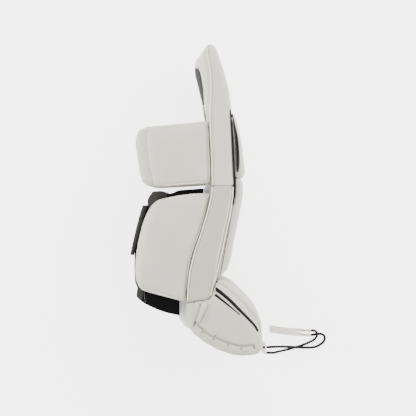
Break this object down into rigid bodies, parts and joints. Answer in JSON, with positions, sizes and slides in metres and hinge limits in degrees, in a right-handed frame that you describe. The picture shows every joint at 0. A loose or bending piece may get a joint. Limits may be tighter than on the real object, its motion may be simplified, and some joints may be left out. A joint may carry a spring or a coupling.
{
  "type": "ice hockey goalie leg pad",
  "caption": "Padded shell for a goalie's leg, lying on its side, with a kneeling block, calf wings, an elastic calf wrap, a gathered boot and a toe cord.",
  "frame": {"origin": "middle of the pad's footprint without its loose cord, on the surface that it lies on", "axes": "+X from behind the calf towards the front face, +Y from the toe to the thigh, +Z across the pad's width from the outer side that it lies on to the inner side"},
  "size_m": [0.5594, 0.8666, 0.2804],
  "materials": {
    "white_leather": "smooth coated leather, satin",
    "black_leather": "smooth coated leather, satin",
    "black_nylon": "woven nylon and elastic webbing, matte",
    "pale_lining": "soft lining cloth, matte",
    "lace_leather": "undyed lace leather, matte"
  },
  "bodies": {
    "root": {"thigh_body": "white_leather", "shin_body": "white_leather", "boot_body": "white_leather", "knee_welt": "black_leather", "knee_face": "white_leather", "shin_face": "white_leather", "boot_face": "white_leather", "knee_inset_inner": "black_leather", "knee_inset_outer": "black_leather", "thigh_back_pad": "white_leather", "thigh_back_lining": "black_nylon", "knee_back_lining": "black_nylon", "leg_bed": "pale_lining", "knee_block_top": "white_leather", "knee_block_base": "white_leather", "knee_wing_outer": "white_leather", "calf_wing_inner": "white_leather", "calf_wing_outer": "white_leather", "calf_wrap": "black_nylon", "calf_strap": "black_nylon", "toe_tab": "lace_leather", "toe_cord_upper": "black_nylon", "toe_cord_lower": "black_nylon", "lace_end_upper": "lace_leather", "lace_end_lower": "lace_leather"}
  },
  "joints": []
}
